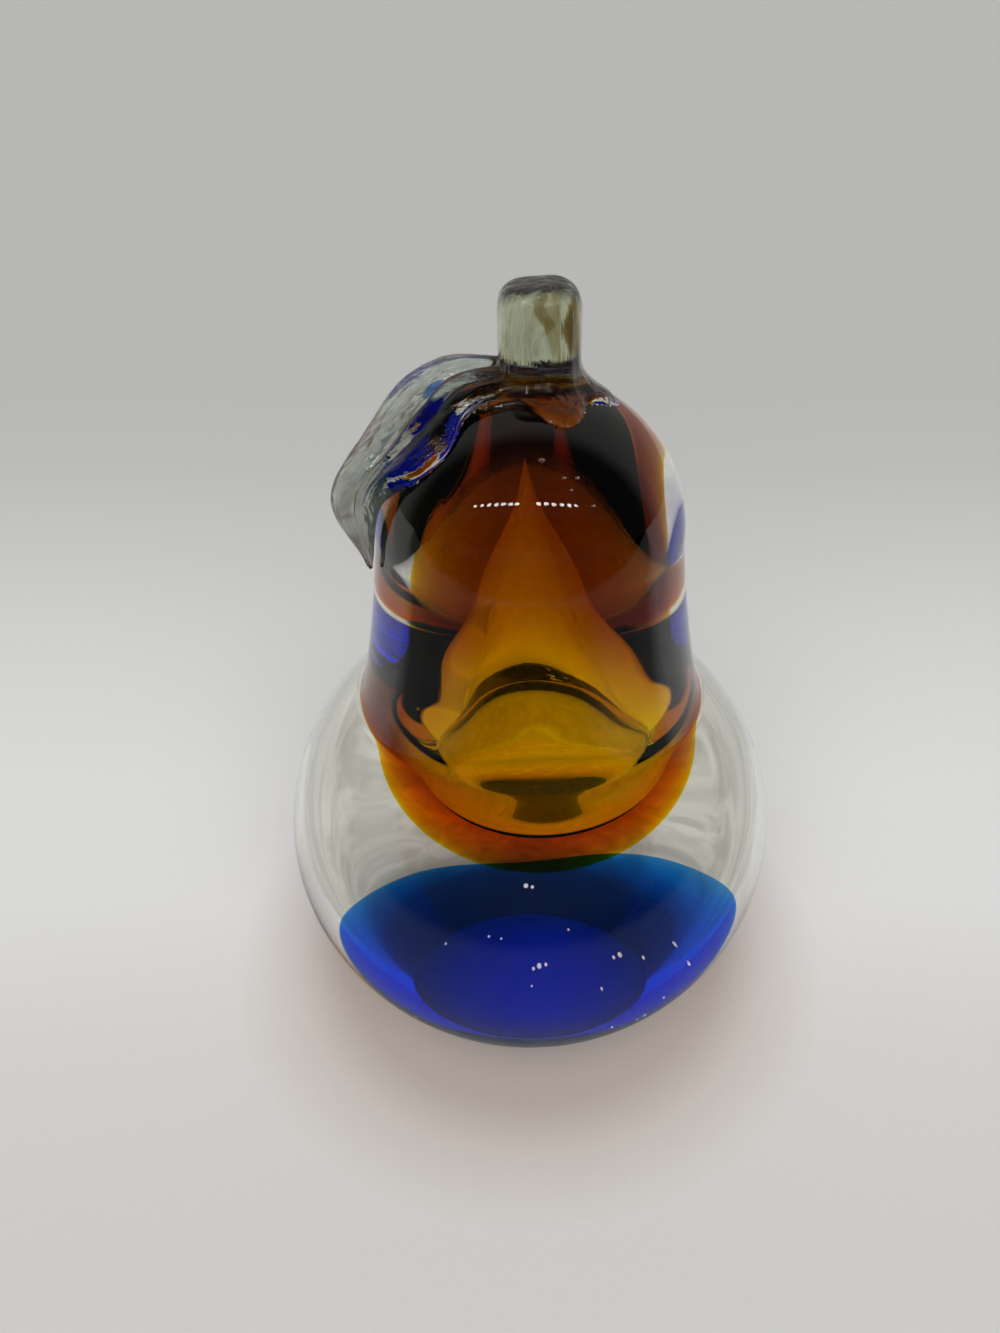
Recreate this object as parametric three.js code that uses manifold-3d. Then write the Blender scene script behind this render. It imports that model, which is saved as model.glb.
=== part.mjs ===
// A hand-made glass pear paperweight: an amber core that holds a teardrop air bubble, cased in
// thick clear glass on a cobalt blue base, with a smoky stem and leaf laid on at the crown.
// Millimetres, +Z up, standing on its flat ground base with the axis of the body at the origin.
import * as THREE from "three";
import { mergeVertices } from "three/addons/utils/BufferGeometryUtils.js";
import Module from "manifold-3d";

// Body
const BASE_RADIUS = 22; // the flat ground face that the pear stands on
const BULB_RADIUS = 48;
const BULB_HALF_HEIGHT = 44.1;
const BULB_TOP_ANGLE = 47.6; // degrees above the bulb's widest ring where the neck leaves it
const NECK_RADIUS = 26.4;
const NECK_TOP_Z = 104.4; // where the neck turns into the crown
const CROWN_HEIGHT = 25.2;
const NECK_BEND = 3.4; // length of the bend at each end of the neck

// Blue base
const BLUE_RIM_Z = 5; // the blue comes up the skin to here
const BLUE_THICKNESS = 8.4; // at the axis
const BLUE_FLATNESS = 5; // exponent of its upper face: higher is flatter with a steeper rim

// Amber core and the bubble that it traps
const CORE_OFFSET = 1.1; // the core sits a little right of the body's axis
const CORE_BOTTOM_Z = 36.8;
const CORE_RADIUS = 24.4;
const CORE_RADIUS_Z = 53.2; // height of its widest ring
const CORE_SHOULDER_Z = 62; // the bowl closes in above this
const CORE_NECK_Z = 82; // the column up the neck starts here
const CORE_NECK_RADIUS = 14.7;
const CORE_CROWN_RADIUS = 13.5; // the column's radius where the neck turns into the crown
const CORE_TOP_RADIUS = 6.6; // where the core comes out at the crown, under the stem
const BUBBLE_OFFSET = 2;
const BUBBLE_BOTTOM_Z = 46.5;
const BUBBLE_RADIUS = 19.7;
const BUBBLE_RADIUS_Z = 53.2;
const BUBBLE_SQUARENESS = 3.2; // exponent of its underside: 2 is an ellipse
const BUBBLE_SHOULDER_RADIUS = 17.8; // where its upright side turns in
const BUBBLE_SHOULDER_Z = 66;
const BUBBLE_FLANK_RADIUS = 10.6; // half way up the drawn-out flank
const BUBBLE_FLANK_Z = 82;
const BUBBLE_NECK_RADIUS = 5.4; // where the flank turns to the fine tip
const BUBBLE_NECK_Z = 98;
const BUBBLE_TIP_Z = 112.8;
const BUBBLE_LEAN = 2.5; // degrees, the tip leaning left

// Stem
const STEM_OFFSET = 1.4;
const STEM_WIDTH = 13;
const STEM_SQUARENESS = 2.6; // exponent of its section: 2 is round
const STEM_HEIGHT = 15; // above the top of the body
const STEM_TOP_ROUND = 3.4;
const FOOT_RADIUS = 11; // the hot foot spread over the crown
const FOOT_LOBE = 1.7; // its edge runs out and in by this much
const FOOT_LOBES = 5;
const FOOT_EDGE = 0.9; // thickness of its edge
const FOOT_HEIGHT = 4; // the foot's flare runs this far up the stem

// Leaf, given by its two edges from the stem over the left shoulder of the crown to the tip.
// Each point is a place on the crown, as degrees round it and degrees up it, and a stand-off.
const LEAF_BACK_EDGE = [
  [139, 79, 2],
  [160, 62, 5],
  [169, 49, 6],
  [178, 32, 5],
  [191, 13.5, 7],
  [197, -6, 1.8],
];
const LEAF_FRONT_EDGE = [
  [242, 72, 1],
  [223, 61, 0.8],
  [227, 47, 0.5],
  [219, 34, 0.5],
  [206, 20, 1],
  [198, -8, 1.4],
];
const LEAF_THICKNESS = 4.8;
const LEAF_TIP_THICKNESS = 1.2;

// Fit and fineness
const SEAT_GAP = 0.3; // between two gathers, which are fused on the real piece
const BODY_SIDES = 48;
const CORE_SIDES = 32;
const CURVE_STEPS = 8;
const STEM_SIDES = 30;
const STEM_STEPS = 6;
const LEAF_SIDES = 20;
const LEAF_STEPS = 26;
const MERGE_DISTANCE = 1e-4;

// Surface roughness of each finish
const POLISHED = 0.05;
const GROUND = 0.3;

const wasm = await Module();
wasm.setup();
const radians = THREE.MathUtils.degToRad;

// Solids

function toSolid(geometry) {
  const bare = geometry.clone();
  bare.deleteAttribute("normal");
  bare.deleteAttribute("uv");
  const merged = mergeVertices(bare, MERGE_DISTANCE);
  const mesh = new wasm.Mesh({
    numProp: 3,
    vertProperties: new Float32Array(merged.attributes.position.array),
    triVerts: new Uint32Array(merged.index.array),
  });
  return new wasm.Manifold(mesh);
}

function toGeometry(solid) {
  const mesh = solid.getMesh();
  const geometry = new THREE.BufferGeometry();
  geometry.setAttribute("position", new THREE.BufferAttribute(mesh.vertProperties, 3));
  geometry.setIndex(new THREE.BufferAttribute(mesh.triVerts, 1));
  geometry.computeVertexNormals();
  return geometry;
}

// Turns a profile of radius and height, which starts and ends on the axis, about Z.
function turned(points, sides) {
  const profile = points.map((p) => p.clone());
  profile.at(0).x = 0;
  profile.at(-1).x = 0;
  return new THREE.LatheGeometry(profile, sides).rotateX(Math.PI / 2);
}

// Joins rings of equal length into a closed skin, with a fan over each end.
function lofted(rings) {
  const sides = rings[0].length;
  const corners = rings.flat();
  const faces = [];
  for (let ring = 0; ring + 1 < rings.length; ring++) {
    for (let k = 0; k < sides; k++) {
      const a = ring * sides + k;
      const b = ring * sides + ((k + 1) % sides);
      faces.push(a, b, b + sides, a, b + sides, a + sides);
    }
  }
  const middle = (ring) => {
    const sum = new THREE.Vector3();
    ring.forEach((p) => sum.add(p));
    return sum.divideScalar(sides);
  };
  const start = corners.push(middle(rings.at(0))) - 1;
  const end = corners.push(middle(rings.at(-1))) - 1;
  const last = (rings.length - 1) * sides;
  for (let k = 0; k < sides; k++) {
    const next = (k + 1) % sides;
    faces.push(start, next, k, end, last + k, last + next);
  }
  const geometry = new THREE.BufferGeometry().setFromPoints(corners);
  geometry.setIndex(faces);
  return geometry;
}

// Body

const bulbCentreZ = BULB_HALF_HEIGHT * Math.sqrt(1 - (BASE_RADIUS / BULB_RADIUS) ** 2);
const bodyTopZ = NECK_TOP_Z + CROWN_HEIGHT;
const stemTopZ = bodyTopZ + STEM_HEIGHT;

function skinRadiusLow(z) {
  return BULB_RADIUS * Math.sqrt(1 - ((z - bulbCentreZ) / BULB_HALF_HEIGHT) ** 2);
}

function crownZ(x, y) {
  return NECK_TOP_Z + CROWN_HEIGHT * Math.sqrt(1 - (x * x + y * y) / NECK_RADIUS ** 2);
}

// A point that stands off the crown, at an angle round it and an angle up it.
function offCrown([azimuth, elevation, standoff]) {
  const level = Math.cos(radians(elevation));
  const x = level * Math.cos(radians(azimuth));
  const y = level * Math.sin(radians(azimuth));
  const z = Math.sin(radians(elevation));
  const normal = new THREE.Vector3(x / NECK_RADIUS, y / NECK_RADIUS, z / CROWN_HEIGHT).normalize();
  const point = new THREE.Vector3(x * NECK_RADIUS, y * NECK_RADIUS, NECK_TOP_Z + z * CROWN_HEIGHT);
  return point.addScaledVector(normal, standoff);
}

// The body's outline, grown outwards by `grow`: base, bulb, neck and crown.
function bodyProfile(grow = 0) {
  const bulbRadius = BULB_RADIUS + grow;
  const bulbHeight = BULB_HALF_HEIGHT + grow;
  const neckRadius = NECK_RADIUS + grow;
  const startAngle = -Math.asin(bulbCentreZ / BULB_HALF_HEIGHT);
  const topAngle = radians(BULB_TOP_ANGLE);
  const neckFoot = new THREE.Vector2(
    bulbRadius * Math.cos(topAngle),
    bulbCentreZ + bulbHeight * Math.sin(topAngle),
  );
  const tangent = new THREE.Vector2(
    -bulbRadius * Math.sin(topAngle),
    bulbHeight * Math.cos(topAngle),
  );
  const bend = neckFoot.addScaledVector(tangent.normalize(), NECK_BEND);
  const outline = new THREE.Path();
  outline.moveTo(0, -grow);
  outline.absellipse(0, bulbCentreZ, bulbRadius, bulbHeight, startAngle, topAngle, false);
  outline.bezierCurveTo(bend.x, bend.y, neckRadius, NECK_TOP_Z - NECK_BEND, neckRadius, NECK_TOP_Z);
  outline.absellipse(0, NECK_TOP_Z, neckRadius, CROWN_HEIGHT + grow, 0, Math.PI / 2, false);
  return outline.getPoints(CURVE_STEPS);
}

// Blue base: flat underneath, flush with the skin up to its rim, domed on top.

const blueRimRadius = skinRadiusLow(BLUE_RIM_Z);

// The dome's points from the rim to the axis, raised by `lift`.
function blueDome(lift) {
  const points = [];
  for (let i = 0; i <= CURVE_STEPS; i++) {
    const share = Math.cos((Math.PI / 2) * (i / CURVE_STEPS));
    const rise = (BLUE_THICKNESS - BLUE_RIM_Z) * (1 - share ** BLUE_FLATNESS);
    points.push(new THREE.Vector2(blueRimRadius * share, BLUE_RIM_Z + rise + lift));
  }
  return points;
}

function blueProfile() {
  const points = [new THREE.Vector2(0, 0)];
  for (let i = 0; i < CURVE_STEPS; i++) {
    const z = (BLUE_RIM_Z * i) / CURVE_STEPS;
    points.push(new THREE.Vector2(skinRadiusLow(z), z));
  }
  return [...points, ...blueDome(0)];
}

// What the blue base takes out of the casing, reaching past the skin all round.
function blueRecessProfile() {
  return [
    new THREE.Vector2(0, -SEAT_GAP),
    new THREE.Vector2(BULB_RADIUS, -SEAT_GAP),
    new THREE.Vector2(BULB_RADIUS, BLUE_RIM_Z + SEAT_GAP),
    ...blueDome(SEAT_GAP),
  ];
}

// Amber core: a bowl, a shoulder and a column that narrows in the crown, grown by `grow` and
// cut off at `topZ`.
function coreProfile(grow, topZ) {
  const radius = CORE_RADIUS + grow;
  const depth = CORE_RADIUS_Z - CORE_BOTTOM_Z + grow;
  const neckRadius = CORE_NECK_RADIUS + grow;
  const neckTaper = (CORE_NECK_RADIUS - CORE_CROWN_RADIUS) / (NECK_TOP_Z - CORE_NECK_Z);
  const crownTaper = (CORE_CROWN_RADIUS - CORE_TOP_RADIUS) / CROWN_HEIGHT;
  const bendZ = (CORE_SHOULDER_Z + CORE_NECK_Z) / 2;
  const bendRadius = neckRadius + neckTaper * (CORE_NECK_Z - bendZ);
  const outline = new THREE.Path();
  outline.absellipse(0, CORE_RADIUS_Z, radius, depth, -Math.PI / 2, 0, false);
  outline.bezierCurveTo(radius, CORE_SHOULDER_Z, bendRadius, bendZ, neckRadius, CORE_NECK_Z);
  outline.lineTo(CORE_CROWN_RADIUS + grow, NECK_TOP_Z);
  outline.lineTo(CORE_CROWN_RADIUS + grow - crownTaper * (topZ - NECK_TOP_Z), topZ);
  outline.lineTo(0, topZ);
  return outline.getPoints(CURVE_STEPS);
}

// Bubble: a squarish underside, then a flank drawn up to a fine tip.
function bubbleProfile() {
  const depth = BUBBLE_RADIUS_Z - BUBBLE_BOTTOM_Z;
  const power = 2 / BUBBLE_SQUARENESS;
  const points = [];
  for (let i = 0; i < CURVE_STEPS; i++) {
    const angle = (Math.PI / 2) * (1 - i / CURVE_STEPS);
    const radius = BUBBLE_RADIUS * Math.cos(angle) ** power;
    points.push(new THREE.Vector2(radius, BUBBLE_RADIUS_Z - depth * Math.sin(angle) ** power));
  }
  const flank = new THREE.SplineCurve([
    new THREE.Vector2(BUBBLE_RADIUS, BUBBLE_RADIUS_Z),
    new THREE.Vector2(BUBBLE_SHOULDER_RADIUS, BUBBLE_SHOULDER_Z),
    new THREE.Vector2(BUBBLE_FLANK_RADIUS, BUBBLE_FLANK_Z),
    new THREE.Vector2(BUBBLE_NECK_RADIUS, BUBBLE_NECK_Z),
    new THREE.Vector2(0, BUBBLE_TIP_Z),
  ]);
  return [...points, ...flank.getPoints(2 * CURVE_STEPS)];
}

// Stem: a squarish stub with a rounded top and a lobed foot on the crown, grown by `grow`.
function stemRings(grow) {
  const topRound = STEM_TOP_ROUND + grow;
  const rings = [];
  const addRing = (radiusAt, zAt) => {
    const ring = [];
    for (let k = 0; k < STEM_SIDES; k++) {
      const angle = (2 * Math.PI * k) / STEM_SIDES;
      const x = STEM_OFFSET + radiusAt(angle) * Math.cos(angle);
      const y = radiusAt(angle) * Math.sin(angle);
      ring.push(new THREE.Vector3(x, y, zAt(x, y)));
    }
    rings.push(ring);
  };
  const stemRadius = (angle) => {
    const across = Math.abs(Math.cos(angle)) ** STEM_SQUARENESS;
    const along = Math.abs(Math.sin(angle)) ** STEM_SQUARENESS;
    return STEM_WIDTH / 2 / (across + along) ** (1 / STEM_SQUARENESS) + grow;
  };
  const footRadius = (angle) => FOOT_RADIUS + FOOT_LOBE * Math.cos(FOOT_LOBES * angle) + grow;
  addRing(footRadius, (x, y) => crownZ(x, y) - FOOT_EDGE);
  for (let i = 0; i <= STEM_STEPS; i++) {
    const share = i / STEM_STEPS;
    const spread = (1 - share) ** 2;
    addRing(
      (angle) => THREE.MathUtils.lerp(stemRadius(angle), footRadius(angle), spread),
      (x, y) => crownZ(x, y) + FOOT_EDGE + FOOT_HEIGHT * share ** 2 + grow,
    );
  }
  for (let i = 0; i <= STEM_STEPS; i++) {
    const turn = (Math.PI / 2) * (i / STEM_STEPS);
    const inset = topRound * (1 - Math.cos(turn));
    const z = stemTopZ - STEM_TOP_ROUND + topRound * Math.sin(turn);
    addRing(
      (angle) => stemRadius(angle) - inset,
      () => z,
    );
  }
  return rings;
}

// Leaf: a lens-shaped section drawn along the blade from edge to edge.
function leafRings() {
  const backEdge = new THREE.CatmullRomCurve3(LEAF_BACK_EDGE.map(offCrown));
  const frontEdge = new THREE.CatmullRomCurve3(LEAF_FRONT_EDGE.map(offCrown));
  const rings = [];
  for (let i = 0; i <= LEAF_STEPS; i++) {
    const share = i / LEAF_STEPS;
    const back = backEdge.getPoint(share);
    const front = frontEdge.getPoint(share);
    const along = backEdge.getTangent(share).add(frontEdge.getTangent(share));
    const up = back.clone().sub(front).cross(along).normalize();
    const full = Math.cos((Math.PI / 2) * share * share);
    const thickness = THREE.MathUtils.lerp(LEAF_TIP_THICKNESS, LEAF_THICKNESS, full);
    const ring = [];
    for (let k = 0; k < LEAF_SIDES; k++) {
      const angle = (-2 * Math.PI * k) / LEAF_SIDES;
      const across = (1 - Math.cos(angle)) / 2;
      const p = back.clone().lerp(front, across);
      ring.push(p.addScaledVector(up, (thickness / 2) * Math.sin(angle)));
    }
    rings.push(ring);
  }
  return rings;
}

// Pieces

const body = toSolid(turned(bodyProfile(), BODY_SIDES));
const seatOnBody = toSolid(turned(bodyProfile(SEAT_GAP), BODY_SIDES));
const stemSolid = toSolid(lofted(stemRings(0)));
const seatOnStem = toSolid(lofted(stemRings(SEAT_GAP)));
const blueRecess = toSolid(turned(blueRecessProfile(), BODY_SIDES));

const moveCore = (geometry) => geometry.translate(CORE_OFFSET, 0, 0);
const amber = toSolid(moveCore(turned(coreProfile(0, bodyTopZ), CORE_SIDES)));
const corePocket = toSolid(moveCore(turned(coreProfile(SEAT_GAP, stemTopZ), CORE_SIDES)));
const bubble = toSolid(
  turned(bubbleProfile(), CORE_SIDES)
    .translate(0, 0, -BUBBLE_RADIUS_Z)
    .rotateY(-radians(BUBBLE_LEAN))
    .translate(BUBBLE_OFFSET, 0, BUBBLE_RADIUS_Z),
);
const belowBubble = toSolid(
  new THREE.BoxGeometry(2 * BULB_RADIUS, 2 * BULB_RADIUS, BUBBLE_RADIUS_Z).translate(
    0,
    0,
    BUBBLE_RADIUS_Z / 2,
  ),
);
const hollowAmber = amber.intersect(body).subtract(bubble);

const pear = new THREE.Group();
pear.name = "glass_pear_paperweight";

function addPiece(name, solid, color, roughness) {
  const material = new THREE.MeshStandardMaterial({ color, roughness, metalness: 0 });
  const piece = new THREE.Mesh(toGeometry(solid), material);
  piece.name = name;
  pear.add(piece);
}

addPiece("clear_casing", body.subtract(corePocket).subtract(blueRecess), "#dfe3dc", POLISHED);
addPiece("amber_core", hollowAmber.subtract(belowBubble), "#c9760a", POLISHED);
addPiece("amber_seal", hollowAmber.intersect(belowBubble), "#b8620a", POLISHED);
addPiece("blue_base", toSolid(turned(blueProfile(), BODY_SIDES)), "#1d3c94", GROUND);
addPiece("stem", stemSolid.subtract(seatOnBody), "#8b8873", POLISHED);
addPiece(
  "leaf",
  toSolid(lofted(leafRings())).subtract(seatOnBody).subtract(seatOnStem),
  "#7c8784",
  POLISHED,
);

export default pear;
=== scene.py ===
"""Looks of a hand-made glass pear paperweight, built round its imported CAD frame.

The real piece is one fused mass of glass, so only its outer skins and the walls of the air bubbles
bend light. The amber, blue and smoky bodies inside tint what passes through them.
The pear's sizes are in millimetres and become metres when a mesh is made. The materials'
patterns, the stage and the camera are in metres.
"""

import math

import bpy
import numpy as np
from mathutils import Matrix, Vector
from mathutils.bvhtree import BVHTree

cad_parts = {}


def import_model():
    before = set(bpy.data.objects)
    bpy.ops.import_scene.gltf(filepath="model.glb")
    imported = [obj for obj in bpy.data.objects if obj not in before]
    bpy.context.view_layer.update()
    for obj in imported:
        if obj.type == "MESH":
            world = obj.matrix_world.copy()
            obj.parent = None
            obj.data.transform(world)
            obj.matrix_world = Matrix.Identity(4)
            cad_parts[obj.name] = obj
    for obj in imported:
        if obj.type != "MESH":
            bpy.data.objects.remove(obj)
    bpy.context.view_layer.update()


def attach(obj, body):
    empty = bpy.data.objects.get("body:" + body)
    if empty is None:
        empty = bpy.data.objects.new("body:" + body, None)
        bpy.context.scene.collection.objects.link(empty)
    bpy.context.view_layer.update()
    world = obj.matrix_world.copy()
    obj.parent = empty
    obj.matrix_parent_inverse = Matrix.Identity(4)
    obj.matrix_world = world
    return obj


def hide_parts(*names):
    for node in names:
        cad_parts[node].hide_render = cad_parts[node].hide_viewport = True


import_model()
MM = 0.001

# Sizes shared with the CAD source
BASE_RADIUS = 22
BULB_RADIUS = 48
BULB_HALF_HEIGHT = 44.1
BULB_TOP_ANGLE = 47.6
NECK_RADIUS = 26.4
NECK_TOP_Z = 104.4
CROWN_HEIGHT = 25.2
NECK_BEND = 3.4
BLUE_RIM_Z = 5
BLUE_THICKNESS = 8.4
BLUE_FLATNESS = 5
CORE_OFFSET = 1.1
CORE_BOTTOM_Z = 36.8
CORE_RADIUS = 24.4
CORE_RADIUS_Z = 53.2
CORE_SHOULDER_Z = 62
CORE_NECK_Z = 82
CORE_NECK_RADIUS = 14.7
CORE_CROWN_RADIUS = 13.5
CORE_TOP_RADIUS = 6.6
BUBBLE_OFFSET = 2
BUBBLE_BOTTOM_Z = 46.5
BUBBLE_RADIUS = 19.7
BUBBLE_RADIUS_Z = 53.2
BUBBLE_SQUARENESS = 3.2
BUBBLE_LEAN = 2.5
BUBBLE_TIP_Z = 112.8
STEM_OFFSET = 1.4
STEM_WIDTH = 13
STEM_SQUARENESS = 2.6
STEM_HEIGHT = 15
STEM_TOP_ROUND = 3.4
FOOT_RADIUS = 11
FOOT_LOBE = 1.7
FOOT_LOBES = 5
FOOT_EDGE = 0.9
FOOT_HEIGHT = 4
# Root to tip: degrees round the crown, degrees up it and a stand-off
LEAF_BACK_EDGE = [
    (139, 79, 2),
    (160, 62, 5),
    (169, 49, 6),
    (178, 32, 5),
    (191, 13.5, 7),
    (197, -6, 1.8),
]
LEAF_FRONT_EDGE = [
    (242, 72, 1),
    (223, 61, 0.8),
    (227, 47, 0.5),
    (219, 34, 0.5),
    (206, 20, 1),
    (198, -8, 1.4),
]
LEAF_THICKNESS = 4.8
LEAF_TIP_THICKNESS = 1.2

# Finer shapes, which the solids leave out
BLUE_LEAN = 1.2  # the rim of the blue stands higher on the right
BLUE_BACK_DIP = 2.3  # and lower at the back
BLUE_DIP_SHARPNESS = 8
BLUE_INSET = 0.35  # from the skin
CORE_COVER = 1.6  # clear glass over the top of the core
BUBBLE_FLANK = [(17.8, 66), (13.5, 74), (10.6, 82), (7.5, 90), (5.3, 98), (1.7, 106), (0.6, 110)]
# How the skin runs out of round: lobes, depth, start in radians, height for each radian of twist
SKIN_LOBES = [(2, 0.05, 0.7, 29), (3, 0.03, -1.1, 19)]
STEM_LOBES = 3
STEM_LOBE = 0.015  # share of the stem's width
STEM_TOP_SOFTNESS = 1.3  # times the solid's rounding
STEM_TOP_UNEVEN = 0.2  # the share by which that grows towards the right
STEM_TOP_SLOPE = 0.07  # down to the left
STEM_TOP_FLAT = 2  # right of the stem's middle, where the slope starts
FOOT_EDGE_ROUND = 0.125  # share of the foot's flare
# Creases along the leaf: share of its thickness, place across it, drift to the tip and width
LEAF_CREASES = [(0.75, 0.40, 0.12, 0.07), (0.25, 0.74, -0.08, 0.06)]
LEAF_RIB = 0.05
LEAF_RIBS = 6
LEAF_RIB_SWAY = 0.9
LEAF_WAVE = 0.35
LEAF_STREAK_SWAY = 0.04  # share of the leaf's width
LEAF_STREAK_THICKNESS = 0.17  # share of the leaf's thickness
STEM_STREAK_Y = -1.5
STEM_STREAK_SWAY = 0.4  # sideways, share of its width
STEM_STREAK_SWING = 0.6  # to the front and back
STEM_STREAK_FOOT = 0.7  # share of its width, at its foot
STEM_STREAK_COVER = 2  # below the top of the stem
DROP_FLATNESS = 0.8

GLASS_IOR = 1.5
SEAM = 0.05  # between a tinted gather and the wall that bends light
SUNK = 0.25  # how far the stem and the leaf sink into the crown where they are fused to it
EDGE_BAND = 0.03  # share of the first step up the skin, so that the ground edge is crisp
BODY_SIDES = 240
CORE_SIDES = 144
STEM_SIDES = 120
LEAF_SIDES = 110
STREAK_SIDES = 20
DROP_SIDES = 20

BULB_CENTRE_Z = BULB_HALF_HEIGHT * math.sqrt(1 - (BASE_RADIUS / BULB_RADIUS) ** 2)
BODY_TOP_Z = NECK_TOP_Z + CROWN_HEIGHT
STEM_TOP_Z = BODY_TOP_Z + STEM_HEIGHT


# Curves

def round_angles(sides):
    return 2 * np.pi * np.arange(sides) / sides


def ellipse_arc(radius, height, centre_z, start, end, steps):
    """(radius, z) points on an upright ellipse about the axis, angles in degrees."""
    angles = np.radians(np.linspace(start, end, steps + 1))
    return np.stack([radius * np.cos(angles), centre_z + height * np.sin(angles)], 1)


def bezier(a, b, c, d, steps):
    t = np.linspace(0, 1, steps + 1)[:, None]
    a, b, c, d = (np.array(p, float) for p in (a, b, c, d))
    return a * (1 - t) ** 3 + 3 * b * t * (1 - t) ** 2 + 3 * c * t * t * (1 - t) + d * t**3


def through(points, steps):
    """A centripetal Catmull-Rom curve through the points, with `steps` pieces between each two."""
    p = np.array(points, float)
    p = np.vstack([2 * p[0] - p[1], p, 2 * p[-1] - p[-2]])
    curve = []
    for i in range(1, len(p) - 2):
        knots = [0.0]
        for k in range(3):
            knots.append(knots[-1] + np.linalg.norm(p[i + k] - p[i + k - 1]) ** 0.5)
        t0, t1, t2, t3 = knots
        for t in np.linspace(t1, t2, steps, endpoint=False):
            a1 = ((t1 - t) * p[i - 1] + (t - t0) * p[i]) / (t1 - t0)
            a2 = ((t2 - t) * p[i] + (t - t1) * p[i + 1]) / (t2 - t1)
            a3 = ((t3 - t) * p[i + 1] + (t - t2) * p[i + 2]) / (t3 - t2)
            b1 = ((t2 - t) * a1 + (t - t0) * a2) / (t2 - t0)
            b2 = ((t3 - t) * a2 + (t - t1) * a3) / (t3 - t1)
            curve.append(((t2 - t) * b1 + (t - t1) * b2) / (t2 - t1))
    curve.append(p[-2])
    return np.array(curve)


def beside(profile, distance):
    """The profile moved to its right by distance, seen along it."""
    along = np.gradient(profile, axis=0)
    right = np.stack([along[:, 1], -along[:, 0]], 1)
    return profile + distance * right / np.linalg.norm(right, axis=1)[:, None]


# Meshes

def rings_of(profile, sides):
    """Rings of points about the axis, one for each (radius, z), or a single point on the axis."""
    angles = round_angles(sides)
    rings = []
    for radius, z in profile:
        if radius < 1e-6:
            rings.append(np.array([[0.0, 0.0, z]]))
        else:
            x, y = radius * np.cos(angles), radius * np.sin(angles)
            rings.append(np.stack([x, y, np.full(sides, z)], 1))
    return rings


def linked(name, mesh, *materials):
    """A piece of this mesh and these materials, put in the scene."""
    for material in materials:
        mesh.materials.append(material)
    piece = bpy.data.objects.new(name, mesh)
    bpy.context.scene.collection.objects.link(piece)
    return piece


def skin(name, rings, *materials):
    """A smooth closed skin over rings of points, facing away from what lies left of their path."""
    corners = np.vstack(rings)
    starts = np.cumsum([0] + [len(r) for r in rings])
    sides = max(len(r) for r in rings)
    faces = []
    for a, b, low, high in zip(starts, starts[1:], rings, rings[1:]):
        for k in range(sides):
            n = (k + 1) % sides
            if len(low) == 1:
                faces.append((a, b + n, b + k))
            elif len(high) == 1:
                faces.append((a + k, a + n, b))
            else:
                faces.append((a + k, a + n, b + n, b + k))
    mesh = bpy.data.meshes.new(name)
    mesh.from_pydata((corners * MM).tolist(), [], faces)
    mesh.polygons.foreach_set("use_smooth", [True] * len(faces))
    mesh.update()
    return linked(name, mesh, *materials)


def add(piece, slot, *nodes):
    """Puts the piece on the body, in place of CAD nodes, which it hides. The slot is not used."""
    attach(piece, "root")
    if nodes:
        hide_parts(*nodes)
    return piece


# Materials

class Nodes:
    """A tree of shader nodes, wired up in code."""

    def __init__(self, tree, coordinates):
        self.tree = tree
        self.place = self.node("TexCoord").outputs[coordinates]

    def node(self, kind, *in_order, **by_name):
        """A node with its inputs in order or by name, each a value or another node's output."""
        node = self.tree.nodes.new("ShaderNode" + kind)
        sockets = list(zip(node.inputs, in_order))
        sockets += [(node.inputs[key.replace("_", " ")], value) for key, value in by_name.items()]
        for socket, value in sockets:
            if isinstance(value, bpy.types.NodeSocket):
                self.tree.links.new(value, socket)
            else:
                socket.default_value = value
        return node

    def worked_out(self, kind, operation, first, second):
        """A node that does an operation on two inputs."""
        node = self.node(kind, first, second)
        node.operation = operation
        return node

    def distance(self, centre):
        node = self.worked_out("VectorMath", "DISTANCE", self.place, centre)
        return node.outputs["Value"]

    def product(self, first, *others):
        for other in others:
            first = self.worked_out("Math", "MULTIPLY", first, other).outputs[0]
        return first

    def axis(self, letter):
        return self.node("SeparateXYZ", Vector=self.place).outputs[letter]

    def share(self, value, low, high):
        """How far the value is on its way from low to high."""
        return self.node("MapRange", Value=value, From_Min=low, From_Max=high).outputs[0]

    def stretched(self, scale, turn=(0, 0, 0)):
        """Coordinates that draw a pattern out along the axis of the least scale."""
        turn = [math.radians(a) for a in turn]
        return self.node("Mapping", Vector=self.place, Scale=scale, Rotation=turn).outputs[0]

    def noise(self, vector, scale, detail=3.0, twist=0.0):
        node = self.node("TexNoise", Vector=vector, Scale=scale, Detail=detail, Distortion=twist)
        return node.outputs["Fac"]

    def between(self, factor, *stops, ease=False):
        """A ramp of (position, colour or grey level) stops."""
        node = self.node("ValToRGB", Fac=factor)
        ramp = node.color_ramp
        while len(ramp.elements) < len(stops):
            ramp.elements.new(0.5)
        for element, (position, colour) in zip(ramp.elements, stops):
            element.position = position
            rgb = colour if isinstance(colour, tuple) else (colour,) * 3
            element.color = (*rgb, 1)
        if ease:
            ramp.interpolation = "EASE"
        return node.outputs["Color"]

    def tinted(self, first, second):
        """One colour times another."""
        node = self.node("Mix")
        node.data_type = "RGBA"
        node.blend_type = "MULTIPLY"
        node.inputs[0].default_value = 1
        self.tree.links.new(first, node.inputs[6])
        self.tree.links.new(second, node.inputs[7])
        return node.outputs[2]

    def instead(self, share, usual, other):
        """The other shader in place of the usual one, by its share."""
        return self.node("MixShader", share, usual, other).outputs[0]


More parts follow.
